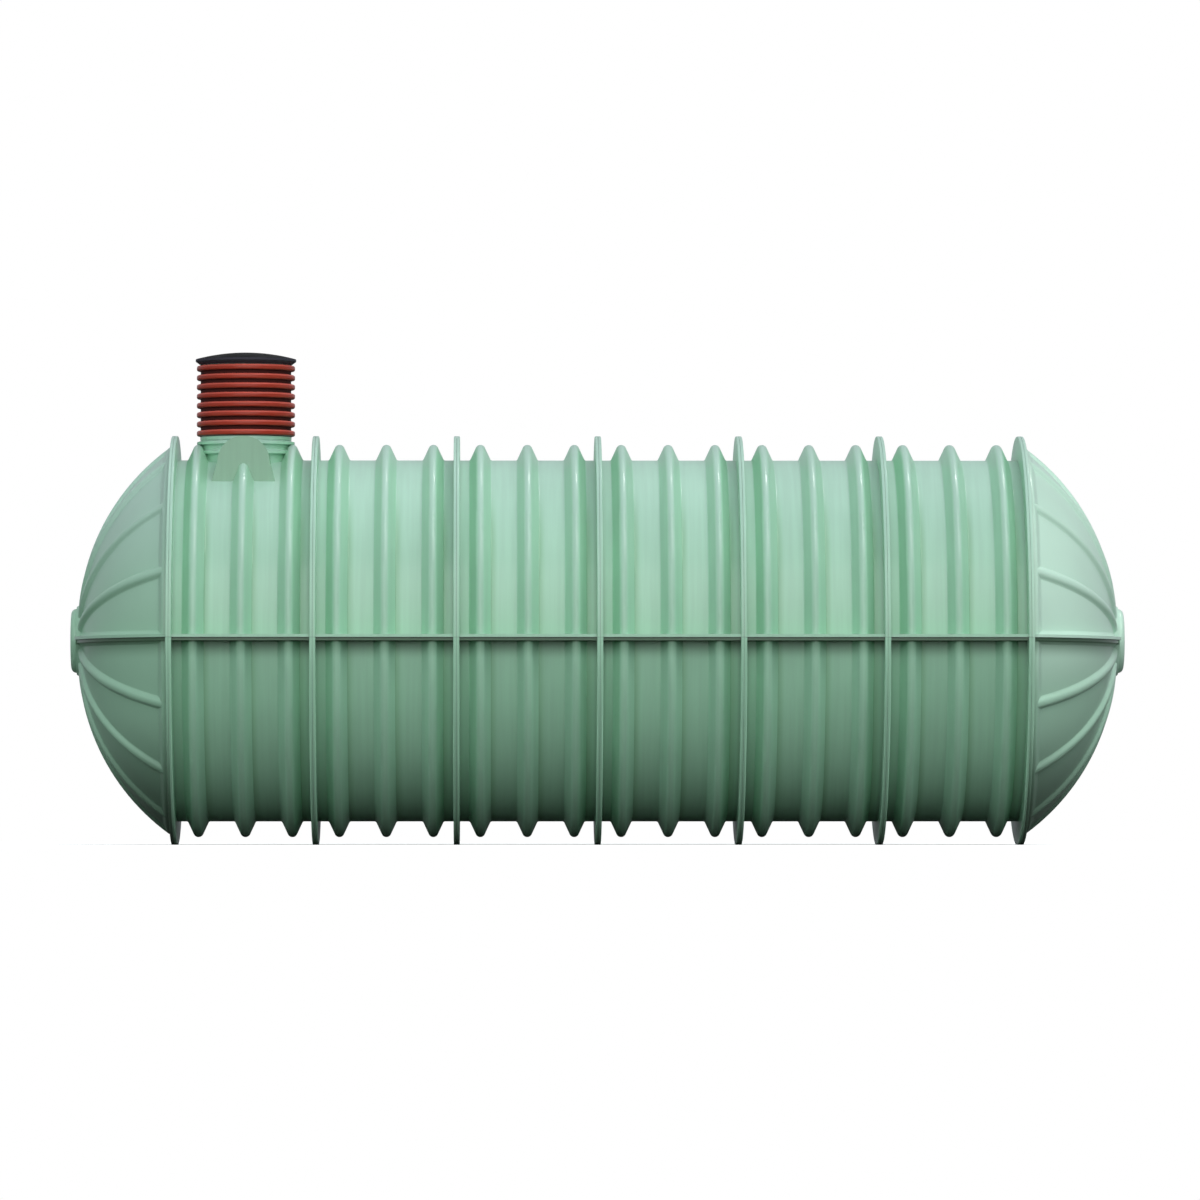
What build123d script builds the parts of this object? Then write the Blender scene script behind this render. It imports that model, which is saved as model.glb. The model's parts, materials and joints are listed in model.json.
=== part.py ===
from build123d import *

import os
from math import acos, asin, cos, degrees, radians, sin, tan

# A septic tank moulded in glass-fibre plastic. It lies along X and rests on the flats of its ring flanges.
# The origin is on the floor under the middle of the tank, and the manhole is near the -X end.
# All lengths are in millimetres.

# Barrel: six pairs of ribbed half shells
module_count = 6
module_pitch = 960
wall_radius = 1230
wall_thickness = 10
ribs_per_module = 3
rib_height = 107
rib_foot_width = 143
rib_flank_angle = 65
rib_crown_rounding = 33
rib_foot_rounding = 14
rib_crown_build_up = 4

# Flanges where the shells are joined; each stands this far over the wall
ring_flange_stand = 166
seam_flange_stand = 154
seam_flange_step = 24
flange_thickness = 19.5
flange_edge_rounding = 7
joint_seal_thickness = 2
joint_seal_depth = 60
joint_seal_setback = 12
foot_depth = 8

# End domes; the shares are shares of the barrel's wall radius
dome_arc_radius_share = 1.223
dome_arc_centre_radius_share = 0.0813
dome_arc_centre_depth_share = 0.684
dome_collar_stand = 92
dome_collar_length = 46
dome_panel_depth = 30
dome_rim_slope_angle = 30
dome_shoulder_rounding = 25
dome_foot_rounding = 40
dome_rib_count = 7
dome_rib_spacing_angle = 23.3
dome_rib_sink = 3
dome_rib_foot_width = 84
dome_rib_flank_angle = 50
dome_rib_crown_rounding = 34
dome_rib_foot_rounding = 28
dome_rib_foot_reach = 40
dome_rib_foot_slope = 12
dome_channel_stop_angle = 1.5
dome_seam_flange_stand = 28
hub_height_share = 0.543
hub_radius_share = 0.1886
hub_flank_angle = 50

# Round discs on the dome hubs
disc_inset = 14
disc_thickness = 38
disc_edge_rounding = 34

# Manhole neck on the first module; the drops are measured down from its top
neck_top_stand = 158
neck_root_depth = 230
neck_bore_radius = 300
neck_wall_thickness = 6
neck_lip_width = 11
neck_lip_height = 20
neck_ring_width = 33
neck_ring_height = 36
neck_ring_draft = 9
neck_upper_ring_drop = 43
neck_lower_ring_drop = 108

# Flat inlet bosses in front of the neck and behind it
boss_face_share = 0.5
boss_top_drop = 13
boss_arch_radius = 177
boss_slope_angle = 74
boss_thickness = 10

# Corrugated riser pipe, of the same bore as the neck
riser_wall_thickness = 8.5
riser_ring_width = 35
riser_ring_count = 8
riser_ring_pitch = 63.4
riser_ring_height = 44
riser_ring_draft = 6
riser_ring_rounding = 13
riser_seal_thickness = 3

# Lid; the overhangs are measured out from the riser's bore
lid_overhang = 43
lid_foot_overhang = 12
lid_height = 39
lid_rim_height = 16
lid_thickness = 9
lid_edge_rounding = 4
lid_spigot_depth = 26
lid_spigot_clearance = 4
lid_seal_thickness = 3
lid_seal_width = 11

# Sizes that follow from those above; levels are heights above the tank's axis
half_seal = joint_seal_thickness / 2
flange_radius = wall_radius + ring_flange_stand
axis_height = flange_radius + half_seal - foot_depth
shell_length = module_pitch - joint_seal_thickness
barrel_half = module_pitch * module_count / 2
rib_pitch = module_pitch / ribs_per_module
module_centres = [module_pitch * i + module_pitch / 2 - barrel_half for i in range(module_count)]
dome_face = barrel_half + half_seal
dome_arc_radius = wall_radius * dome_arc_radius_share
dome_arc_centre_radius = wall_radius * dome_arc_centre_radius_share
dome_arc_centre_depth = wall_radius * dome_arc_centre_depth_share
hub_height = wall_radius * hub_height_share
hub_radius = wall_radius * hub_radius_share
manhole_x = module_centres[0]
neck_top = wall_radius + neck_top_stand
neck_root = wall_radius - neck_root_depth
boss_face_distance = wall_radius * boss_face_share
riser_bottom = neck_top + riser_seal_thickness
riser_top = riser_bottom + riser_ring_pitch * (riser_ring_count - 1) + riser_ring_height
lid_foot = riser_top + lid_seal_thickness
half_turn = 180
quarter_turn = 90

# Places that the pieces share
floor_plane = Plane.XY
seal_plane = Plane.XY.offset(axis_height - half_seal)
neck_axis = Axis((manhole_x, 0, 0), (0, 0, 1))
neck_side_plane = Plane(origin=(manhole_x, 0, axis_height), x_dir=(1, 0, 0), z_dir=(0, -1, 0))
neck_level_plane = Plane(origin=(manhole_x, 0, axis_height), x_dir=(1, 0, 0), z_dir=(0, 0, 1))


def finish(part, name):
    """Name a piece and write it to its own file."""
    part.label = name
    export_step(part, f"parts/{name}.step")


def rib_points(centre, depth, build_up):
    """The corners of a barrel rib at a depth under the outer face, its crown lower still by the build-up."""
    foot = rib_foot_width / 2 - depth * tan(radians(rib_flank_angle / 2))
    crown = foot - (rib_height - build_up) / tan(radians(rib_flank_angle))
    low = wall_radius - depth
    high = low + rib_height - build_up
    return [(centre - foot, low), (centre - crown, high), (centre + crown, high), (centre + foot, low)]


def half_plane(side):
    """The seam face of the upper half (side = 1) or of the lower half (side = -1), seen from outside."""
    return Plane(origin=(0, 0, axis_height + side * half_seal), x_dir=(1, 0, 0), z_dir=(0, 0, side))


def half_axis(side):
    """The lengthwise axis of the upper or the lower half."""
    return Axis((0, 0, axis_height + side * half_seal), (1, 0, 0))


def skin_profile(side, depth, length):
    """Lengthwise section of a module from the tank's axis to its wall: rounded outside, plain inside."""
    half = length / 2
    outside = depth == 0
    points, rounding = [(-half, wall_radius - depth)], []
    for i in range(ribs_per_module):
        centre = rib_pitch * i + rib_pitch / 2 - module_pitch / 2
        points += rib_points(centre, depth, 0 if outside else rib_crown_build_up)
        rounding += [rib_foot_rounding, rib_crown_rounding, rib_crown_rounding, rib_foot_rounding]
    points.append((half, wall_radius - depth))
    with BuildSketch(half_plane(side)) as profile:
        with BuildLine():
            if outside:
                wall = FilletPolyline(*points, radius=rounding)
            else:
                wall = Polyline(*points)
            Polyline(wall @ 1, (half, 0), (-half, 0), wall @ 0)
        make_face()
    return profile.sketch


def ring_flange_profile(side, face, run):
    """Section of a ring flange: its flat face is at X = face, and it lies towards the run (1 or -1)."""
    back = face + run * flange_thickness
    with BuildSketch(half_plane(side)) as profile:
        with BuildLine():
            rim = FilletPolyline(
                (face, 0), (face, flange_radius), (back, flange_radius), (back, 0),
                radius=[0, flange_edge_rounding],
            )
            Line(rim @ 1, rim @ 0)
        make_face()
    return profile.sketch


def seam_flange_setback(side):
    """The lower half's seam flange stands back under the upper one."""
    return seam_flange_step if side < 0 else 0


def barrel_half_shell(side):
    """One half of a barrel module about X = 0: ribbed wall, half ring flanges and flat seam flanges."""
    half = shell_length / 2
    axis = half_axis(side)
    reach = wall_radius + seam_flange_stand - seam_flange_setback(side)
    with BuildPart() as shell:
        revolve(skin_profile(side, 0, shell_length), axis=axis, revolution_arc=half_turn)
        revolve(ring_flange_profile(side, -half, 1), axis=axis, revolution_arc=half_turn)
        revolve(ring_flange_profile(side, half, -1), axis=axis, revolution_arc=half_turn)
        with BuildSketch(half_plane(side)):
            Rectangle(shell_length, 2 * reach)
        extrude(amount=flange_thickness)
        revolve(skin_profile(side, wall_thickness, module_pitch), axis=axis, mode=Mode.SUBTRACT)
        if side < 0:
            split(bisect_by=floor_plane, keep=Keep.TOP)
    return shell.part


def cut_manhole(shell):
    """Open the shell under the neck."""
    with BuildPart() as opened:
        add(shell)
        with BuildSketch(neck_level_plane):
            Circle(neck_bore_radius)
        extrude(amount=flange_radius, mode=Mode.SUBTRACT)
    return opened.part


def make_barrel():
    upper, lower = barrel_half_shell(1), barrel_half_shell(-1)
    for number, centre in enumerate(module_centres, start=1):
        place = Location((centre, 0, 0))
        top = upper.moved(place)
        finish(cut_manhole(top) if number == 1 else top, f"module_{number}_upper")
        finish(lower.moved(place), f"module_{number}_lower")


def dome_arc_point(angle, depth):
    """A point on the dome's arc, as distance from the ring and radius; the angle is from the tank's axis."""
    radius = dome_arc_radius - depth
    along = radius * cos(radians(angle)) - dome_arc_centre_depth
    return along, dome_arc_centre_radius + radius * sin(radians(angle))


def dome_arc_angle(along, depth):
    """The angle at which the dome's arc passes a distance from the ring."""
    return degrees(acos((along + dome_arc_centre_depth) / (dome_arc_radius - depth)))


def dome_profile(side, depth):
    """Half of the lengthwise section of a dome between its ribs: collar, rim, panel and hub."""
    panel = dome_panel_depth + depth
    collar = wall_radius + dome_collar_stand - depth
    shoulder_angle = dome_arc_angle(dome_collar_length, 0)
    shoulder = dome_arc_point(shoulder_angle, depth)
    rim_run = dome_panel_depth / tan(radians(dome_rim_slope_angle))
    rim_angle = shoulder_angle - degrees(rim_run / dome_arc_radius)
    top = hub_height - depth
    hub = hub_radius - depth * tan(radians(hub_flank_angle / 2))
    foot_radius = hub + dome_panel_depth / tan(radians(hub_flank_angle))
    foot_angle = degrees(asin((foot_radius - dome_arc_centre_radius) / (dome_arc_radius - panel)))
    rim, foot = dome_arc_point(rim_angle, panel), dome_arc_point(foot_angle, panel)
    middle = dome_arc_point((rim_angle + foot_angle) / 2, panel)
    with BuildSketch(half_plane(side)) as profile:
        with BuildLine():
            Polyline((-depth, 0), (-depth, collar), shoulder, rim)
            ThreePointArc(rim, middle, foot)
            Polyline(foot, (top, hub), (top, 0), (-depth, 0))
        make_face()
        if depth == 0:
            corners = profile.vertices()
            fillet(corners.sort_by_distance(shoulder)[0], radius=dome_shoulder_rounding)
            for corner in (rim, foot):
                fillet(profile.vertices().sort_by_distance(corner)[0], radius=dome_foot_rounding)
    return profile.sketch


def dome_swing_axis(side):
    """The axis about which the ribs at the top or bottom of a dome are swung."""
    level = axis_height + side * (half_seal + dome_arc_centre_radius)
    return Axis((-dome_arc_centre_depth, 0, level), (0, side, 0))


def dome_rib_plane(side, angle):
    """The plane across a rib where its arc has come to an angle from the tank's axis."""
    outwards = Vector(cos(radians(angle)), 0, side * sin(radians(angle)))
    return Plane(
        origin=dome_swing_axis(side).position, x_dir=(0, 1, 0), z_dir=Vector(0, 1, 0).cross(outwards)
    )


def dome_hub_angle():
    """The angle at which a rib ends inside the hub."""
    return degrees(asin((hub_radius - dome_panel_depth - dome_arc_centre_radius) / dome_arc_radius))


def dome_rib(side, whole):
    """The rib at the top or bottom of a dome, or its half on the +Y side."""
    half = dome_rib_foot_width / 2
    high = dome_arc_radius - dome_rib_sink
    low = dome_arc_radius - dome_panel_depth
    root = low - dome_panel_depth
    crown = half - (high - low) / tan(radians(dome_rib_flank_angle))
    skirt = half + dome_rib_foot_reach
    skirt_level = low - dome_rib_foot_reach * tan(radians(dome_rib_foot_slope))
    angle = dome_arc_angle(dome_collar_length, 0)
    with BuildPart() as rib:
        with BuildSketch(dome_rib_plane(side, angle)):
            with BuildLine():
                edge = FilletPolyline(
                    (0, high), (crown, high), (half, low), (skirt, skirt_level),
                    radius=[dome_rib_crown_rounding, dome_rib_foot_rounding],
                )
                Polyline(edge @ 1, (skirt, root), (0, root), edge @ 0)
            make_face()
            if whole:
                mirror(about=Plane.YZ)
        revolve(axis=dome_swing_axis(side), revolution_arc=angle - dome_hub_angle())
    return rib.part


def dome_channel(side):
    """The hollow inside a rib, under its crown by the wall's thickness."""
    half = dome_rib_foot_width / 2 - wall_thickness * tan(radians(dome_rib_flank_angle / 2))
    high = dome_arc_radius - dome_rib_sink - wall_thickness
    low = dome_arc_radius - dome_panel_depth - wall_thickness
    root = low - dome_panel_depth
    crown = half - (high - low) / tan(radians(dome_rib_flank_angle))
    angle = dome_arc_angle(dome_collar_length, 0) - dome_channel_stop_angle
    with BuildPart() as channel:
        with BuildSketch(dome_rib_plane(side, angle)):
            Polygon(
                (-half, root), (half, root), (half, low), (crown, high), (-crown, high), (-half, low),
                align=None,
            )
        revolve(axis=dome_swing_axis(side), revolution_arc=angle - dome_hub_angle())
    return channel.part


def dome_rib_turns():
    """How far each rib is turned about the tank's axis from the top or bottom of the dome."""
    first = -dome_rib_spacing_angle * (dome_rib_count - 1) / 2
    return [first + dome_rib_spacing_angle * i for i in range(dome_rib_count)]


def dome_outside(side):
    """The filled form of half a dome with its ribs, and a half rib along each side of the seam."""
    rib = dome_rib(side, whole=True)
    land = dome_rib(side, whole=False).rotate(half_axis(side), side * quarter_turn)
    with BuildPart() as form:
        revolve(dome_profile(side, 0), axis=half_axis(side), revolution_arc=half_turn)
        for turn in dome_rib_turns():
            add(rib.rotate(half_axis(side), turn))
        add(land)
        add(land.mirror(Plane.XZ))
        split(bisect_by=half_plane(side), keep=Keep.TOP)
    return form.part


def dome_inside(side):
    """The form of the room inside half a dome, with the hollows of its ribs."""
    channel = dome_channel(side)
    with BuildPart() as form:
        revolve(dome_profile(side, wall_thickness), axis=half_axis(side), revolution_arc=half_turn)
        for turn in dome_rib_turns():
            add(channel.rotate(half_axis(side), turn))
    return form.part


def dome_seam_outline(side, reach):
    """Half of the flat outline of a dome at the seam, standing over its arc and cut off level with the hub."""
    low = dome_arc_angle(flange_thickness, -reach)
    high = degrees(asin((hub_radius - dome_arc_centre_radius) / (dome_arc_radius + reach)))
    if dome_arc_point(high, -reach)[0] > hub_height:
        high = dome_arc_angle(hub_height, -reach)
    start, end = dome_arc_point(low, -reach), dome_arc_point(high, -reach)
    with BuildSketch(half_plane(side)) as outline:
        with BuildLine():
            Polyline((0, 0), (0, start[1]), start)
            ThreePointArc(start, dome_arc_point((low + high) / 2, -reach), end)
            Polyline(end, (end[0], 0), (0, 0))
        make_face()
    return outline.sketch


def dome_half(side):
    """One half of an end dome, opening towards -X from its ring flange at X = 0."""
    reach = dome_seam_flange_stand - seam_flange_setback(side)
    with BuildPart() as dome:
        add(dome_outside(side))
        revolve(ring_flange_profile(side, 0, 1), axis=half_axis(side), revolution_arc=half_turn)
        with BuildSketch(half_plane(side)):
            add(dome_seam_outline(side, reach))
            mirror(about=Plane.XZ)
        extrude(amount=flange_thickness)
        add(dome_inside(side), mode=Mode.SUBTRACT)
        if side < 0:
            split(bisect_by=floor_plane, keep=Keep.TOP)
    return dome.part


def hub_disc():
    """The round disc that closes the hub of a dome."""
    radius = hub_radius - disc_inset
    with BuildPart() as disc:
        with BuildSketch(Plane.XZ):
            with BuildLine():
                edge = FilletPolyline(
                    (0, 0), (0, radius), (disc_thickness, radius), (disc_thickness, 0),
                    radius=[0, disc_edge_rounding],
                )
                Line(edge @ 1, edge @ 0)
            make_face()
        revolve(axis=Axis.X)
    return disc.part


def make_ends():
    """The two domes, each of an upper and a lower half, with their hub discs."""
    place = Location((dome_face, 0, 0))
    disc = hub_disc().moved(Location((dome_face + hub_height, 0, axis_height)))
    pieces = {
        "dome_upper": dome_half(1).moved(place),
        "dome_lower": dome_half(-1).moved(place),
        "hub_disc": disc,
    }
    for name, piece in pieces.items():
        finish(piece.mirror(Plane.YZ), f"left_{name}")
        finish(piece, f"right_{name}")


def ring_seal():
    """The flat seal between two ring flanges, about X = 0."""
    outer = flange_radius - joint_seal_setback
    with BuildPart() as seal:
        with BuildSketch(Plane.YZ.offset(-half_seal)):
            Circle(outer)
            Circle(outer - joint_seal_depth, mode=Mode.SUBTRACT)
        extrude(amount=joint_seal_thickness)
    return seal.part.moved(Location((0, 0, axis_height)))


def dome_seam_strip():
    """The seal along the rear side of the right dome's seam, in to the inner face of the wall."""
    reach = dome_seam_flange_stand - seam_flange_step - joint_seal_setback
    with BuildPart() as strip:
        extrude(dome_seam_outline(1, reach), amount=-joint_seal_thickness)
        extrude(dome_profile(1, wall_thickness), amount=-joint_seal_thickness, mode=Mode.SUBTRACT)
    return strip.part.moved(Location((dome_face, 0, 0)))


def make_seals():
    seal = ring_seal()
    for number in range(module_count + 1):
        finish(seal.moved(Location((module_pitch * number - barrel_half, 0, 0))), f"ring_seal_{number + 1}")
    outer = wall_radius + seam_flange_stand - seam_flange_step - joint_seal_setback
    middle = outer - joint_seal_depth / 2
    strip = dome_seam_strip()
    with BuildPart() as strips:
        with BuildSketch(seal_plane):
            with Locations([(x, middle) for x in module_centres]):
                Rectangle(shell_length, joint_seal_depth)
        extrude(amount=joint_seal_thickness)
        add(strip)
        add(strip.mirror(Plane.YZ))
    finish(strips.part.mirror(Plane.XZ), "front_seam_seal")
    finish(strips.part, "rear_seam_seal")


def neck_outline():
    """Points up the outside of the neck, as radius and height above the tank's axis."""
    wall = neck_bore_radius + neck_wall_thickness
    ring = neck_bore_radius + neck_ring_width
    lip = neck_bore_radius + neck_lip_width
    points = [(wall, neck_root)]
    for drop in (neck_lower_ring_drop, neck_upper_ring_drop):
        low = neck_top - drop - neck_ring_height / 2
        high = low + neck_ring_height
        points += [(wall, low), (ring, low + neck_ring_draft), (ring, high - neck_ring_draft), (wall, high)]
    under_lip = neck_top - neck_lip_height
    return points + [(wall, under_lip), (lip, under_lip), (lip, neck_top)]


def neck_form(bore):
    """The neck as a turned form about its axis, down to a bore radius."""
    with BuildPart() as form:
        with BuildSketch(neck_side_plane):
            with BuildLine():
                Polyline(*neck_outline(), (bore, neck_top), (bore, neck_root), close=True)
            make_face()
        revolve(axis=neck_axis)
    return form.part


def first_module_form():
    """The first module as a filled form, to trim what stands on it."""
    with BuildPart() as form:
        revolve(skin_profile(1, 0, module_pitch), axis=half_axis(1))
    return form.part.moved(Location((manhole_x, 0, 0)))


def inlet_boss(barrel, neck):
    """The flat arched boss in front of the neck: a hood that closes on the shell and on the neck."""
    arch_level = neck_top - boss_top_drop - boss_arch_radius
    spread = (arch_level - neck_root) / tan(radians(boss_slope_angle))
    face = neck_side_plane.offset(boss_face_distance)
    with BuildPart() as boss:
        for inset, mode in ((0, Mode.ADD), (boss_thickness, Mode.SUBTRACT)):
            radius = boss_arch_radius - inset
            with BuildSketch(face.offset(-inset)):
                with BuildLine():
                    ThreePointArc((radius, arch_level), (0, arch_level + radius), (-radius, arch_level))
                    Polyline(
                        (-radius, arch_level), (-radius - spread, neck_root),
                        (radius + spread, neck_root), (radius, arch_level),
                    )
                make_face()
            extrude(amount=inset - boss_face_distance, mode=mode)
        add(barrel, mode=Mode.SUBTRACT)
        add(neck, mode=Mode.SUBTRACT)
    return boss.part


def make_manhole_base():
    barrel = first_module_form()
    with BuildPart() as neck:
        add(neck_form(neck_bore_radius))
        add(barrel, mode=Mode.SUBTRACT)
    finish(neck.part, "manhole_neck")
    boss = inlet_boss(barrel, neck_form(0))
    finish(boss, "front_inlet_boss")
    finish(boss.mirror(Plane.XZ), "rear_inlet_boss")


def flat_ring(inner, outer, level, thickness):
    """A flat ring about the neck's axis, from a level above the tank's axis."""
    with BuildPart() as ring:
        with BuildSketch(neck_level_plane.offset(level)):
            Circle(outer)
            Circle(inner, mode=Mode.SUBTRACT)
        extrude(amount=thickness)
    return ring.part


def riser_pipe():
    """The corrugated pipe that leads up to the lid."""
    groove = neck_bore_radius + riser_wall_thickness
    ring = neck_bore_radius + riser_ring_width
    points, rounding = [], []
    for i in range(riser_ring_count):
        low = riser_bottom + riser_ring_pitch * i
        high = low + riser_ring_height
        points += [(groove, low), (ring, low + riser_ring_draft), (ring, high - riser_ring_draft), (groove, high)]
        rounding += [0, riser_ring_rounding, riser_ring_rounding, 0]
    with BuildPart() as pipe:
        with BuildSketch(neck_side_plane):
            with BuildLine():
                wall = FilletPolyline(*points, radius=rounding[1:-1])
                Polyline(wall @ 1, (neck_bore_radius, riser_top), (neck_bore_radius, riser_bottom), wall @ 0)
            make_face()
        revolve(axis=neck_axis)
    return pipe.part


def manhole_lid():
    """The lid: a dished rim over the riser, with a spigot ring that drops into the pipe."""
    rim = neck_bore_radius + lid_overhang
    foot = neck_bore_radius + lid_foot_overhang
    top = lid_foot + lid_height
    under_rim = top - lid_rim_height
    spigot = neck_bore_radius - lid_spigot_clearance
    spigot_end = lid_foot - lid_spigot_depth
    inner = spigot - lid_thickness
    ceiling = top - lid_thickness
    with BuildPart() as lid:
        with BuildSketch(neck_side_plane):
            with BuildLine():
                edge = FilletPolyline(
                    (0, top), (rim, top), (rim, under_rim), (foot, lid_foot), (spigot, lid_foot),
                    (spigot, spigot_end), (inner, spigot_end), (inner, ceiling), (0, ceiling),
                    radius=[lid_edge_rounding, lid_edge_rounding, 0, 0, 0, 0, 0],
                )
                Line(edge @ 1, edge @ 0)
            make_face()
        revolve(axis=neck_axis)
    return lid.part


def make_riser():
    neck_lip = neck_bore_radius + neck_lip_width
    lid_seal = neck_bore_radius + lid_seal_width
    finish(flat_ring(neck_bore_radius, neck_lip, neck_top, riser_seal_thickness), "riser_seal")
    finish(riser_pipe(), "riser_pipe")
    finish(flat_ring(neck_bore_radius, lid_seal, riser_top, lid_seal_thickness), "lid_seal")
    finish(manhole_lid(), "manhole_lid")


def main():
    os.makedirs("parts", exist_ok=True)
    make_barrel()
    make_ends()
    make_seals()
    make_manhole_base()
    make_riser()


main()
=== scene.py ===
import json
from math import cos, pi, radians, sin

import bpy
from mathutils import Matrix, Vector


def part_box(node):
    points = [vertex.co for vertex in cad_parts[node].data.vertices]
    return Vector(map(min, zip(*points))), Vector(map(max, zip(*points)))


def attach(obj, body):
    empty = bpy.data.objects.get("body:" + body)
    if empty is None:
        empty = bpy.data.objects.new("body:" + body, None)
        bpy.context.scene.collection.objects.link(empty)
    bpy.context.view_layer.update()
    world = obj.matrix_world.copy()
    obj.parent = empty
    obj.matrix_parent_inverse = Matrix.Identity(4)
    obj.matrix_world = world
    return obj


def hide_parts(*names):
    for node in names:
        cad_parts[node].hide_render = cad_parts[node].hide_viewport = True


# The looks of a septic tank moulded in glass-fibre plastic: camera, soft studio light, and a finish for
# every surface. All is in metres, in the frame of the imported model: X along the tank, the viewer at -Y.

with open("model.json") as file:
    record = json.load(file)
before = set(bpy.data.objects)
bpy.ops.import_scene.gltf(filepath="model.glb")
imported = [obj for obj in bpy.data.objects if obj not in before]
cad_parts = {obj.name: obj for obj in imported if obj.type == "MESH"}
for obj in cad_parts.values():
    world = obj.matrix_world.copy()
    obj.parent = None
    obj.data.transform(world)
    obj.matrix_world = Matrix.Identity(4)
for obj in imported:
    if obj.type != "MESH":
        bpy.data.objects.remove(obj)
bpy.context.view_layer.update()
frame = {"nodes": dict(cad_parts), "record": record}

# The photograph's frame, in its own pixels
PHOTO_SIZE = 1200
METRES_PER_PIXEL = 0.0068246
TANK_CENTRE_PIXEL = (597.6, 641)
EYE_PIXEL_X = 485

# The tank's own sizes, read from the frame
AXIS_HEIGHT = sum(corner.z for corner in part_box("left_hub_disc")) / 2
BARREL_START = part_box("module_1_upper")[0].x
BARREL_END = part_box("module_6_upper")[1].x
MODULE_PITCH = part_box("module_2_upper")[0].x - BARREL_START
RISER_CENTRE_X = sum(corner.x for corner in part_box("riser_pipe")) / 2
RISER_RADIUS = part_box("riser_pipe")[1].y
HUB_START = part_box("right_hub_disc")[0].x

# Sizes of the tank that its boxes don't give, and the margins that keep a finish off an edge
RIBS_PER_MODULE = 3
RIB_PITCH = MODULE_PITCH / RIBS_PER_MODULE
RIB_HALF_WIDTH = 0.0715
FLANGE_THICKNESS = 0.0195
EDGE_MARGIN = 0.002
FINE_MARGIN = 0.001

# The shell's greens, painted sheen and painted light among them, and the painted shade that darkens the inlet
# bosses
SIDE_GREEN = (0.345, 0.61, 0.434, 1)
FADED_AND_SHEEN_GREEN = (0.43, 0.66, 0.54, 1)
PAINTED_LIGHT_GREEN = (0.62, 0.88, 0.72, 1)
FLANK_PAINTED_LIGHT_GREEN = (0.40, 0.71, 0.51, 1)
NO_TINT = (1, 1, 1, 1)
BOSS_PAINTED_SHADE_TINT = (0.575, 0.672, 0.558, 1)

# Where the greens change: heights over the axis, distances past the barrel's end, the shares of the painted
# light green at the bottom and top of its heights, and how far a flank faces along the tank
FADE_AND_SHEEN_HEIGHTS = (0.0, 1.1)
PAINTED_LIGHT_HEIGHTS = (-0.5, 0.1)
PAINTED_LIGHT_SHARES = (0.3, 0.95)
PAINTED_LIGHT_EDGE = (-0.01, 0.05)
PAINTED_LIGHT_FLANK_FACINGS = (0.3, 0.9)

# How much darker and lighter the streaks and the clouds make the laminate, and the middle level of a noise
TONE_RANGE = (0.96, 1.03)
NOISE_MIDDLE = 0.5

# The painted shade on the laminate, beside the joints mixed with grime: each has its colour and its largest
# share, and fades over a width from its edge, or between two heights over the axis. The lower flange's share
# is added to that of the painted shadow under the seam.
JOINT_GRIME_AND_PAINTED_SHADE = {"colour": (0.17, 0.22, 0.16, 1), "share": 0.35, "width": 0.03}
RIB_FOOT_PAINTED_SHADE = {"colour": (0.25, 0.48, 0.30, 1), "share": 0.85, "width": 0.05, "heights": (1.1, 0.6)}
DOME_FOOT_PAINTED_SHADE = {"colour": (0.02, 0.04, 0.02, 1), "share": 0.75, "heights": (-1.25, -0.45)}
SEAM_PAINTED_SHADOW = {"colour": (0.05, 0.13, 0.06, 1), "share": 0.55, "heights": (-0.15, -0.02)}
LOWER_FLANGE_PAINTED_SHADE = {"share": 0.35, "heights": (-0.034, -0.024)}

# Where the painted shade in the riser's grooves turns into its red crests, from the radius of its rings
RISER_CREST = (-0.028, -0.014)

# The domed lid that stands for the flat one of the model: its dome's rise, radii, depths below the rim's
# top edge, and the steps of its turned mesh
LID_CROWN = 0.046
LID_EDGE_ROUNDING = 0.006
LID_RIM_DEPTH = 0.016
LID_FOOT_RADIUS = 0.312
LID_FOOT_DEPTH = 0.039
LID_SPIGOT_RADIUS = 0.296
LID_THICKNESS = 0.009
LID_TURN_STEPS = 160
LID_CROWN_STEPS = 24
LID_EDGE_STEPS = 6
LID_SHARP_DEGREES = 30

# The camera: a long lens close above the floor and a little left of the tank's middle, so that it looks up
CAMERA_DISTANCE = 60.0
CAMERA_HEIGHT = 0.25
CAMERA_CLIP_END = 600.0
SENSOR_WIDTH = 36.0

# The light: a soft sky and four far lamps, each with the way it shines from (degrees right of the viewer
# and degrees up), its width in degrees, and the level of a white surface that faces it
WHITE = (1, 1, 1, 1)
SKY_COLOUR = (0.94, 1.0, 1.07, 1)
SKY_AT_HORIZON = 0.47
SKY_OVERHEAD = 0.46
SKY_OVERHEAD_FROM = 0.8
LAMPS = {
    "front_lamp": {"azimuth": 3, "elevation": 18, "width": 60, "level": 0.43},
    "right_lamp": {"azimuth": 50, "elevation": 55, "width": 30, "level": 0.24},
    "left_lamp": {"azimuth": -50, "elevation": 18, "width": 60, "level": 0.07},
    "streak_lamp": {"azimuth": 145, "elevation": 62, "width": 9, "level": 0.11},
}

# The floor: white around the tank, but for the shadow, and dark to the light that bounces off it. The area
# that shows the shadow is an oval of these half widths, and past it the floor fades to plain white.
FLOOR_REACH = 400.0
FLOOR_GREY = (0.85, 0.85, 0.85, 1)
FLOOR_GLOW = 0.55
FLOOR_BOUNCE = (0.10, 0.11, 0.10, 1)
FLOOR_SHADOW_AREA = (4.6, 4.0)
FLOOR_FADE_END = 1.7

# The numbers of the Mix node's sockets for colours, as its names for them aren't unique
MIX_SHARE = 0
MIX_FIRST = 6
MIX_SECOND = 7
MIX_RESULT = 2


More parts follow.
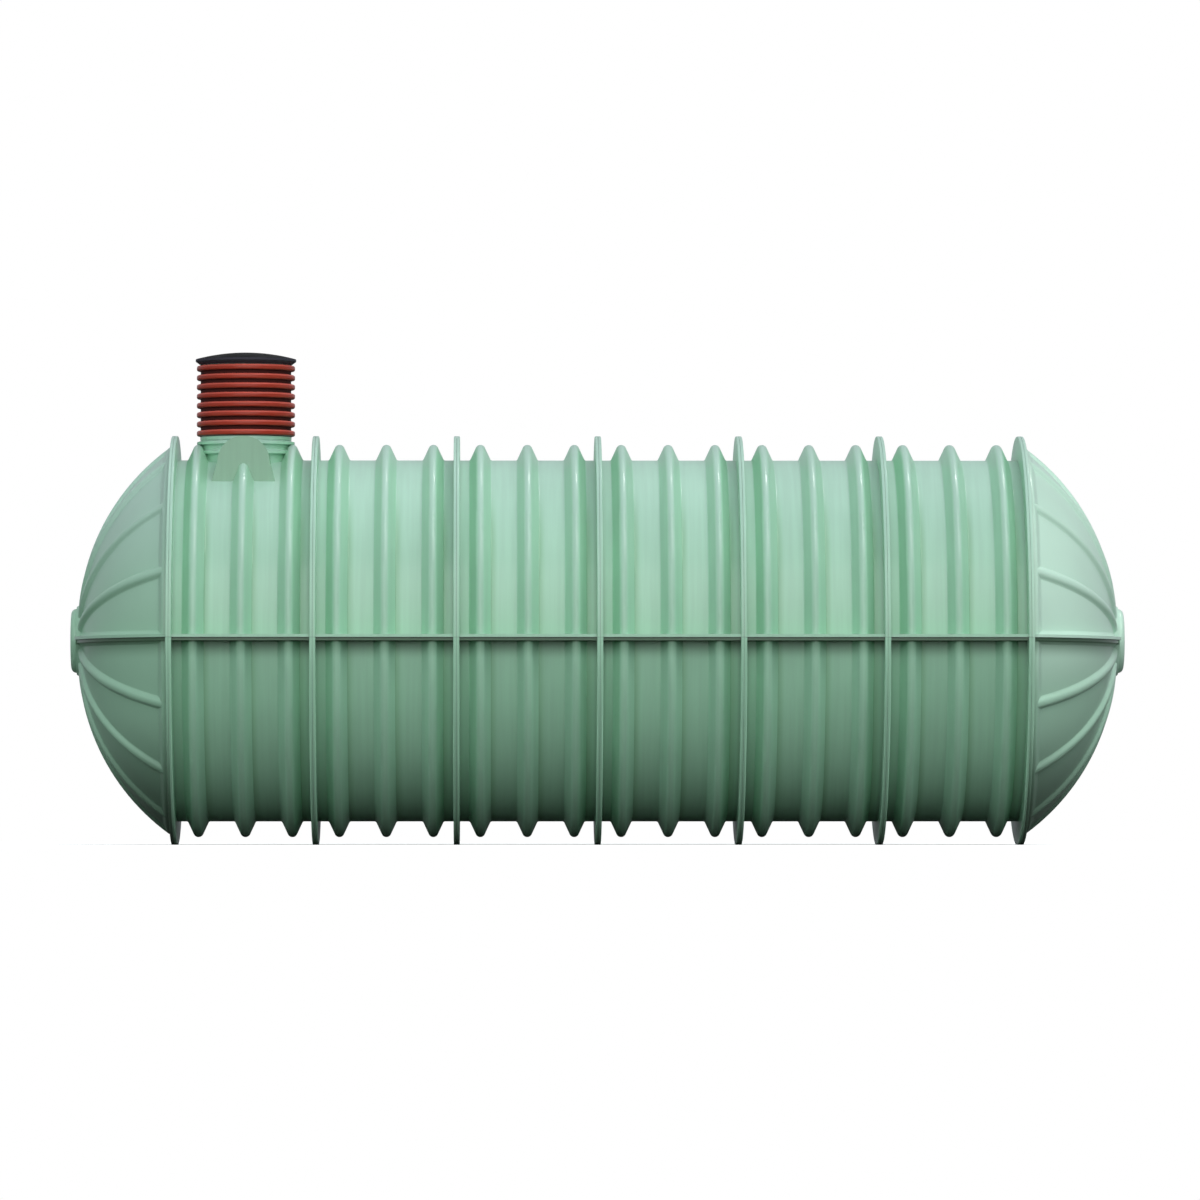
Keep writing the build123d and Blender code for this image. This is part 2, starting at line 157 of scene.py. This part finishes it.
def add(tree, kind, inputs, **settings):
    """A shader node; each input is a constant, or another node's socket that is linked to it."""
    made = tree.nodes.new("ShaderNode" + kind)
    for name, value in settings.items():
        setattr(made, name, value)
    for name, value in inputs.items():
        if isinstance(value, bpy.types.NodeSocket):
            tree.links.new(value, made.inputs[name])
        else:
            made.inputs[name].default_value = value
    return made


def new_material(name):
    """An empty node material."""
    material = bpy.data.materials.new(name)
    material.use_nodes = True
    material.node_tree.nodes.clear()
    return material


def noise(tree, place, scale, detail, stretch=(1, 1, 1)):
    """Fractal noise from 0 to 1; a large stretch along an axis makes it change quickly that way."""
    spot = add(tree, "Mapping", {"Vector": place, "Scale": stretch})
    return add(tree, "TexNoise", {"Vector": spot.outputs[0], "Scale": scale, "Detail": detail}).outputs["Fac"]


def ramp(tree, value, start, end, low=0.0, high=1.0):
    """A smooth change from low to high while the value goes from start to end."""
    inputs = {"Value": value, "From Min": start, "From Max": end, "To Min": low, "To Max": high}
    return add(tree, "MapRange", inputs, interpolation_type="SMOOTHSTEP").outputs["Result"]


def span(anchor, ends):
    """Where a span starts and ends whose two ends are given from an anchor."""
    return anchor + ends[0], anchor + ends[1]


def maths(tree, operation, first, second=0.0):
    """One operation on values or sockets."""
    return add(tree, "Math", {0: first, 1: second}, operation=operation).outputs[0]


def product(tree, first, *others):
    """All the values multiplied."""
    for value in others:
        first = maths(tree, "MULTIPLY", first, value)
    return first


def facing(tree, axis):
    """How far the surface faces along an axis, from -1 to 1."""
    normal = add(tree, "NewGeometry", {}).outputs["Normal"]
    return add(tree, "SeparateXYZ", {0: normal}).outputs[axis]


def blend(tree, share, first, second, mode="MIX"):
    """The first colour, with a share of the second laid over it."""
    inputs = {MIX_SHARE: share, MIX_FIRST: first, MIX_SECOND: second}
    return add(tree, "Mix", inputs, data_type="RGBA", blend_type=mode).outputs[MIX_RESULT]


def bump(tree, height, distance, strength, under=None):
    """A normal bent by a height, over the normal under it where one is given."""
    inputs = {"Height": height, "Distance": distance, "Strength": strength}
    if under is not None:
        inputs["Normal"] = under
    return add(tree, "Bump", inputs).outputs["Normal"]


def place_on_object(tree):
    """The place on the object, in metres."""
    return add(tree, "TexCoord", {}).outputs["Object"]


def finish_surface(tree, inputs):
    """End a material with a plastic surface that has these inputs."""
    shader = add(tree, "BsdfPrincipled", inputs)
    add(tree, "OutputMaterial", {"Surface": shader.outputs[0]})


def camera_switch(tree, shader, seen):
    """One shader for the light that falls on a thing, and another for what the camera sees of it."""
    path = add(tree, "LightPath", {})
    inputs = {0: path.outputs["Is Camera Ray"], 1: shader.outputs[0], 2: seen.outputs[0]}
    return add(tree, "MixShader", inputs).outputs[0]


def make_camera():
    """A camera that sees the tank's middle plane at the photograph's scale."""
    middle = PHOTO_SIZE / 2
    aim_height = AXIS_HEIGHT + (TANK_CENTRE_PIXEL[1] - middle) * METRES_PER_PIXEL
    aim = Vector(((middle - TANK_CENTRE_PIXEL[0]) * METRES_PER_PIXEL, 0, aim_height))
    eye_x = (EYE_PIXEL_X - TANK_CENTRE_PIXEL[0]) * METRES_PER_PIXEL
    eye = Vector((eye_x, -CAMERA_DISTANCE, CAMERA_HEIGHT))
    data = bpy.data.cameras.new("camera")
    data.sensor_width = SENSOR_WIDTH
    data.lens = SENSOR_WIDTH * (aim - eye).length / (PHOTO_SIZE * METRES_PER_PIXEL)
    data.clip_end = CAMERA_CLIP_END
    camera = bpy.data.objects.new("camera", data)
    camera.location = eye
    camera.rotation_euler = (aim - eye).to_track_quat("-Z", "Y").to_euler()
    bpy.context.scene.collection.objects.link(camera)
    bpy.context.scene.camera = camera


def make_lamps():
    """The far lamps, all shining at the middle of the tank."""
    for name, lamp in LAMPS.items():
        side, rise = radians(lamp["azimuth"]), radians(lamp["elevation"])
        direction = Vector((sin(side) * cos(rise), -cos(side) * cos(rise), sin(rise)))
        data = bpy.data.lights.new(name, "SUN")
        data.angle = radians(lamp["width"])
        data.energy = lamp["level"] * pi
        light = bpy.data.objects.new(name, data)
        light.location = Vector((0, 0, AXIS_HEIGHT)) + direction * CAMERA_DISTANCE
        light.rotation_euler = (-direction).to_track_quat("-Z", "Y").to_euler()
        bpy.context.scene.collection.objects.link(light)


def make_world():
    """A soft sky, nearly even, that the camera sees as plain white."""
    world = bpy.data.worlds.new("studio")
    bpy.context.scene.world = world
    world.use_nodes = True
    tree = world.node_tree
    tree.nodes.clear()
    place = add(tree, "TexCoord", {})
    height = add(tree, "SeparateXYZ", {0: place.outputs["Generated"]}).outputs["Z"]
    level = ramp(tree, height, 0.0, SKY_OVERHEAD_FROM, SKY_AT_HORIZON, SKY_OVERHEAD)
    sky = add(tree, "Background", {"Color": SKY_COLOUR, "Strength": level})
    seen = add(tree, "Background", {"Color": WHITE, "Strength": 1.0})
    add(tree, "OutputWorld", {"Surface": camera_switch(tree, sky, seen)})


def make_floor():
    """A plane that shows the tank's shadow near it and is white further out."""
    material = new_material("floor")
    tree = material.node_tree
    place = place_on_object(tree)
    width, depth = FLOOR_SHADOW_AREA
    spot = add(tree, "Mapping", {"Vector": place, "Scale": (1 / width, 1 / depth, 0)})
    away = add(tree, "VectorMath", {0: spot.outputs[0]}, operation="LENGTH").outputs["Value"]
    matt = add(tree, "BsdfDiffuse", {"Color": FLOOR_GREY})
    glow = add(tree, "Emission", {"Strength": FLOOR_GLOW})
    near = add(tree, "AddShader", {0: matt.outputs[0], 1: glow.outputs[0]})
    far = add(tree, "Emission", {"Strength": 1.0})
    fade = ramp(tree, away, 1.0, FLOOR_FADE_END)
    seen = add(tree, "MixShader", {0: fade, 1: near.outputs[0], 2: far.outputs[0]})
    bounce = add(tree, "BsdfDiffuse", {"Color": FLOOR_BOUNCE})
    add(tree, "OutputMaterial", {"Surface": camera_switch(tree, bounce, seen)})
    corners = [(x * FLOOR_REACH, y * FLOOR_REACH, 0) for x, y in ((-1, -1), (1, -1), (1, 1), (-1, 1))]
    mesh = bpy.data.meshes.new("floor")
    mesh.from_pydata(corners, [], [(0, 1, 2, 3)])
    mesh.materials.append(material)
    floor = bpy.data.objects.new("floor", mesh)
    bpy.context.scene.collection.objects.link(floor)


def paint_light_and_fade(tree, spot, on_barrel):
    """The side's green: lighter and bluer towards the top, partly fading and partly painted sheen; lighter on
    the right dome and on the ribs' flanks, which is painted light.
    """
    # Partly fading, partly painted sheen: lighter and bluer towards the top
    high = ramp(tree, spot["Z"], *span(AXIS_HEIGHT, FADE_AND_SHEEN_HEIGHTS))
    colour = blend(tree, high, SIDE_GREEN, FADED_AND_SHEEN_GREEN)
    # Painted light on the right dome, strongest high up
    at_right = ramp(tree, spot["X"], *span(BARREL_END, PAINTED_LIGHT_EDGE))
    upper = ramp(tree, spot["Z"], *span(AXIS_HEIGHT, PAINTED_LIGHT_HEIGHTS), *PAINTED_LIGHT_SHARES)
    colour = blend(tree, product(tree, at_right, upper), colour, PAINTED_LIGHT_GREEN)
    # Painted light: the barrel's rib flanks, which face along the tank, get a brighter green
    steep = ramp(tree, maths(tree, "ABSOLUTE", facing(tree, "X")), *PAINTED_LIGHT_FLANK_FACINGS)
    return blend(tree, product(tree, steep, on_barrel), colour, FLANK_PAINTED_LIGHT_GREEN)


def darken_beside_joints(tree, colour, from_joint, off_edge, clouds):
    """Patchy grime and painted shade on the wall right beside the ring flanges."""
    end = FLANGE_THICKNESS + JOINT_GRIME_AND_PAINTED_SHADE["width"]
    beside = ramp(tree, from_joint, FLANGE_THICKNESS, end, low=JOINT_GRIME_AND_PAINTED_SHADE["share"], high=0.0)
    return blend(tree, product(tree, beside, off_edge, clouds), colour, JOINT_GRIME_AND_PAINTED_SHADE["colour"])


def paint_shade_at_rib_feet(tree, colour, spot, on_barrel):
    """Painted shade: a soft dark band along the right foot of each rib, but not over the seam flange or near
    the top.
    """
    along = maths(tree, "SUBTRACT", spot["X"], BARREL_START + MODULE_PITCH / 2)
    past_rib = maths(tree, "FLOORED_MODULO", along, RIB_PITCH)
    off_rib = maths(tree, "GREATER_THAN", past_rib, RIB_HALF_WIDTH - FINE_MARGIN)
    end = RIB_HALF_WIDTH + RIB_FOOT_PAINTED_SHADE["width"]
    band = ramp(tree, past_rib, RIB_HALF_WIDTH, end, low=RIB_FOOT_PAINTED_SHADE["share"], high=0.0)
    from_seam = maths(tree, "ABSOLUTE", maths(tree, "SUBTRACT", spot["Z"], AXIS_HEIGHT))
    off_seam = maths(tree, "GREATER_THAN", from_seam, FLANGE_THICKNESS + EDGE_MARGIN)
    lower = ramp(tree, spot["Z"], *span(AXIS_HEIGHT, RIB_FOOT_PAINTED_SHADE["heights"]))
    share = product(tree, band, off_rib, off_seam, on_barrel, lower)
    return blend(tree, share, colour, RIB_FOOT_PAINTED_SHADE["colour"])


def paint_shade_at_dome_feet(tree, colour, spot, on_barrel):
    """Painted shade: the domes get dark towards the ground."""
    foot = ramp(tree, spot["Z"], *span(AXIS_HEIGHT, DOME_FOOT_PAINTED_SHADE["heights"]), low=DOME_FOOT_PAINTED_SHADE["share"], high=0.0)
    on_dome = maths(tree, "SUBTRACT", 1.0, on_barrel)
    return blend(tree, product(tree, foot, on_dome), colour, DOME_FOOT_PAINTED_SHADE["colour"])


def paint_shadow_under_seam(tree, colour, spot, from_middle, off_edge):
    """Painted shadow under the seam flange: the lower seam flange is darkest, and the wall under it dark for
    a hand's breadth.
    """
    close = ramp(tree, spot["Z"], *span(AXIS_HEIGHT, SEAM_PAINTED_SHADOW["heights"]), high=SEAM_PAINTED_SHADOW["share"])
    flange_heights = span(AXIS_HEIGHT, LOWER_FLANGE_PAINTED_SHADE["heights"])
    flange = ramp(tree, spot["Z"], *flange_heights, high=LOWER_FLANGE_PAINTED_SHADE["share"])
    below = maths(tree, "LESS_THAN", spot["Z"], AXIS_HEIGHT - FINE_MARGIN)
    before_hub = maths(tree, "LESS_THAN", from_middle, HUB_START)
    share = product(tree, maths(tree, "ADD", close, flange), below, before_hub, off_edge)
    return blend(tree, share, colour, SEAM_PAINTED_SHADOW["colour"])


def vary_tone(tree, colour, streaks, clouds, on_barrel, tint):
    """The colour a little lighter and darker in fine streaks on the barrel and in clouds, and then tinted; on
    the inlet bosses the tint is painted shade.
    """
    fibre = product(tree, maths(tree, "SUBTRACT", streaks, NOISE_MIDDLE), on_barrel)
    drawn = ramp(tree, fibre, -0.25, 0.25, *TONE_RANGE)
    cloudy = ramp(tree, clouds, 0.3, 0.7, *TONE_RANGE)
    varied = add(tree, "VectorMath", {0: colour, "Scale": product(tree, drawn, cloudy)}, operation="SCALE")
    return blend(tree, 1.0, varied.outputs[0], tint, "MULTIPLY")


def shell_laminate(name, tint):
    """Green moulded glass fibre: glossy gelcoat, lighter on top with fading and painted sheen, painted light
    on the right end and the rib flanks, grime and painted shade at the joints, and painted shade at the feet
    of the ribs and the domes and under the seam.
    """
    material = new_material(name)
    tree = material.node_tree
    place = place_on_object(tree)
    spot = add(tree, "SeparateXYZ", {0: place}).outputs
    streaks = noise(tree, place, scale=1.0, detail=4.0, stretch=(34, 1.2, 1.2))
    clouds = noise(tree, place, scale=1.1, detail=3.0)
    ripple = noise(tree, place, scale=5.0, detail=2.0, stretch=(1, 0.6, 0.6))
    peel = noise(tree, place, scale=140.0, detail=2.0)

    from_middle = maths(tree, "ABSOLUTE", spot["X"])
    on_barrel = maths(tree, "LESS_THAN", from_middle, BARREL_END)
    from_start = maths(tree, "SUBTRACT", spot["X"], BARREL_START)
    from_joint = maths(tree, "PINGPONG", from_start, MODULE_PITCH / 2)
    off_edge = maths(tree, "GREATER_THAN", from_joint, FLANGE_THICKNESS + EDGE_MARGIN)

    colour = paint_light_and_fade(tree, spot, on_barrel)
    colour = darken_beside_joints(tree, colour, from_joint, off_edge, clouds)
    colour = paint_shade_at_rib_feet(tree, colour, spot, on_barrel)
    colour = paint_shade_at_dome_feet(tree, colour, spot, on_barrel)
    colour = paint_shadow_under_seam(tree, colour, spot, from_middle, off_edge)
    colour = vary_tone(tree, colour, streaks, clouds, on_barrel, tint)

    waves = bump(tree, ripple, distance=0.006, strength=0.4)
    finish_surface(tree, {
        "Base Color": colour, "Roughness": ramp(tree, clouds, 0.2, 0.8, low=0.30, high=0.42),
        "Normal": bump(tree, peel, distance=0.0008, strength=0.25, under=waves),
        "Coat Weight": 0.25, "Coat Roughness": 0.12,
    })
    return material


def riser_plastic():
    """Brick-red corrugated pipe: rings a little scuffed, with a painted highlight on their tops and painted
    shade in the grooves and on the undersides.
    """
    # The top red is a painted highlight, and the near black of the grooves and undersides is painted shade
    ring = (0.36, 0.030, 0.013, 1)
    top = (0.62, 0.10, 0.07, 1)
    painted_shade_red = (0.05, 0.006, 0.005, 1)
    scuffed = (0.40, 0.09, 0.055, 1)
    material = new_material("riser_plastic")
    tree = material.node_tree
    place = place_on_object(tree)
    flat = add(tree, "VectorMath", {0: place, 1: (1, 1, 0)}, operation="MULTIPLY").outputs[0]
    centre = (RISER_CENTRE_X, 0, 0)
    from_centre = add(tree, "VectorMath", {0: flat, 1: centre}, operation="DISTANCE").outputs["Value"]
    upward = facing(tree, "Z")
    scuffs = noise(tree, place, scale=6.0, detail=4.0, stretch=(1, 1, 9))
    crest = ramp(tree, from_centre, *span(RISER_RADIUS, RISER_CREST))

    # Painted highlight on the rings' upper faces
    colour = blend(tree, ramp(tree, upward, 0.0, 0.6), ring, top)
    # Painted shade on the rings' undersides
    colour = blend(tree, ramp(tree, upward, -0.45, -0.95), colour, painted_shade_red)
    colour = blend(tree, ramp(tree, scuffs, 0.35, 0.75, high=0.25), colour, scuffed)
    # Painted shade in the grooves, by the distance from the riser's axis
    colour = blend(tree, crest, painted_shade_red, colour)
    finish_surface(tree, {
        "Base Color": colour, "Roughness": ramp(tree, crest, 0.0, 1.0, low=0.8, high=0.32),
        "Normal": bump(tree, scuffs, distance=0.001, strength=0.3), "Specular IOR Level": 0.3,
    })
    return material


def lid_plastic():
    """Black moulded lid with a fine grain and a little dust, and a painted blue-grey sheen on the faces that
    don't face
    up: its rounded edge and sides.
    """
    black = (0.002, 0.002, 0.002, 1)
    dusty = (0.02, 0.02, 0.02, 1)
    # The blue-grey is a painted sheen
    rim = (0.05, 0.048, 0.062, 1)
    material = new_material("lid_plastic")
    tree = material.node_tree
    place = place_on_object(tree)
    dust = noise(tree, place, scale=9.0, detail=5.0)
    grain = noise(tree, place, scale=400.0, detail=1.0)
    colour = blend(tree, ramp(tree, dust, 0.45, 0.8, high=0.3), black, dusty)
    # Painted sheen on the faces that don't face up
    colour = blend(tree, ramp(tree, facing(tree, "Z"), 0.8, 0.3), colour, rim)
    finish_surface(tree, {
        "Base Color": colour, "Roughness": ramp(tree, dust, 0.3, 0.7, low=0.45, high=0.6),
        "Normal": bump(tree, grain, distance=0.0005, strength=0.3), "Specular IOR Level": 0.05,
    })
    return material


def seal_rubber():
    """Dark grey-green sealing strip."""
    dark = (0.07, 0.10, 0.08, 1)
    pale = (0.13, 0.17, 0.14, 1)
    material = new_material("seal_rubber")
    tree = material.node_tree
    place = place_on_object(tree)
    cloud = noise(tree, place, scale=25.0, detail=3.0)
    colour = blend(tree, cloud, dark, pale)
    finish_surface(tree, {
        "Base Color": colour, "Roughness": 0.7,
        "Normal": bump(tree, cloud, distance=0.0005, strength=0.4),
    })
    return material


def lid_profile(low, rim, top):
    """The lid's half section, as radii and heights from the middle outwards and round to its underside."""
    curve = (rim * rim + LID_CROWN * LID_CROWN) / (2 * LID_CROWN)
    shoulder = rim - LID_EDGE_ROUNDING
    inner = LID_SPIGOT_RADIUS - LID_THICKNESS

    def crown(radius):
        """The height of the domed top at a radius."""
        return top + LID_CROWN - curve + (curve * curve - radius * radius) ** 0.5

    radii = [shoulder * step / LID_CROWN_STEPS for step in range(1, LID_CROWN_STEPS + 1)]
    profile = [(radius, crown(radius)) for radius in radii]
    centre = crown(shoulder) - LID_EDGE_ROUNDING
    for step in range(1, LID_EDGE_STEPS + 1):
        turn = pi / 2 * step / LID_EDGE_STEPS
        profile.append((shoulder + LID_EDGE_ROUNDING * sin(turn), centre + LID_EDGE_ROUNDING * cos(turn)))
    return profile + [
        (rim, top - LID_RIM_DEPTH),
        (LID_FOOT_RADIUS, top - LID_FOOT_DEPTH),
        (LID_SPIGOT_RADIUS, top - LID_FOOT_DEPTH),
        (LID_SPIGOT_RADIUS, low),
        (inner, low),
        (inner, top - LID_THICKNESS),
    ]


def turned_mesh(name, peak, profile, steps):
    """A closed mesh turned about the riser's axis, from its peak down the profile to a flat end."""
    corners = [(RISER_CENTRE_X, 0, peak)]
    for radius, height in profile:
        for step in range(steps):
            turn = 2 * pi * step / steps
            corners.append((RISER_CENTRE_X + radius * cos(turn), radius * sin(turn), height))
    rows = [range(1 + ring * steps, 1 + (ring + 1) * steps) for ring in range(len(profile))]
    faces = [(0, rows[0][step], rows[0][(step + 1) % steps]) for step in range(steps)]
    for outer, following in zip(rows, rows[1:]):
        for step in range(steps):
            after = (step + 1) % steps
            faces.append((outer[step], following[step], following[after], outer[after]))
    faces.append(tuple(reversed(rows[-1])))
    mesh = bpy.data.meshes.new(name)
    mesh.from_pydata(corners, [], faces)
    mesh.polygons.foreach_set("use_smooth", [True] * len(faces))
    return mesh


def make_domed_lid():
    """The lid with a rim, a spigot ring below, and a top that rises a little to the middle."""
    low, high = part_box("manhole_lid")
    profile = lid_profile(low.z, high.y, high.z)
    mesh = turned_mesh("domed_lid", high.z + LID_CROWN, profile, LID_TURN_STEPS)
    mesh.set_sharp_from_angle(angle=radians(LID_SHARP_DEGREES))
    mesh.materials.append(bpy.data.materials["lid_plastic"])
    lid = bpy.data.objects.new("domed_lid", mesh)
    bpy.context.scene.collection.objects.link(lid)
    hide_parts("manhole_lid")
    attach(lid, "root")


def dress_nodes():
    """Give every node the finish of its material slot; the inlet bosses get the shell's finish darkened with
    painted shade.
    """
    finishes = {
        "shell": shell_laminate("shell_laminate", NO_TINT),
        "riser": riser_plastic(),
        "lid": lid_plastic(),
        "seal": seal_rubber(),
    }
    # The bosses' tint is painted shade
    shaded_bosses = shell_laminate("boss_laminate_painted_shade", BOSS_PAINTED_SHADE_TINT)
    for part in frame["record"]["subparts"]:
        mesh = frame["nodes"][part["node"]].data
        mesh.materials.clear()
        mesh.materials.append(shaded_bosses if "boss" in part["node"] else finishes[part["material_slot"]])


make_camera()
make_lamps()
make_world()
make_floor()
dress_nodes()
make_domed_lid()
bpy.context.scene.view_settings.view_transform = "Standard"
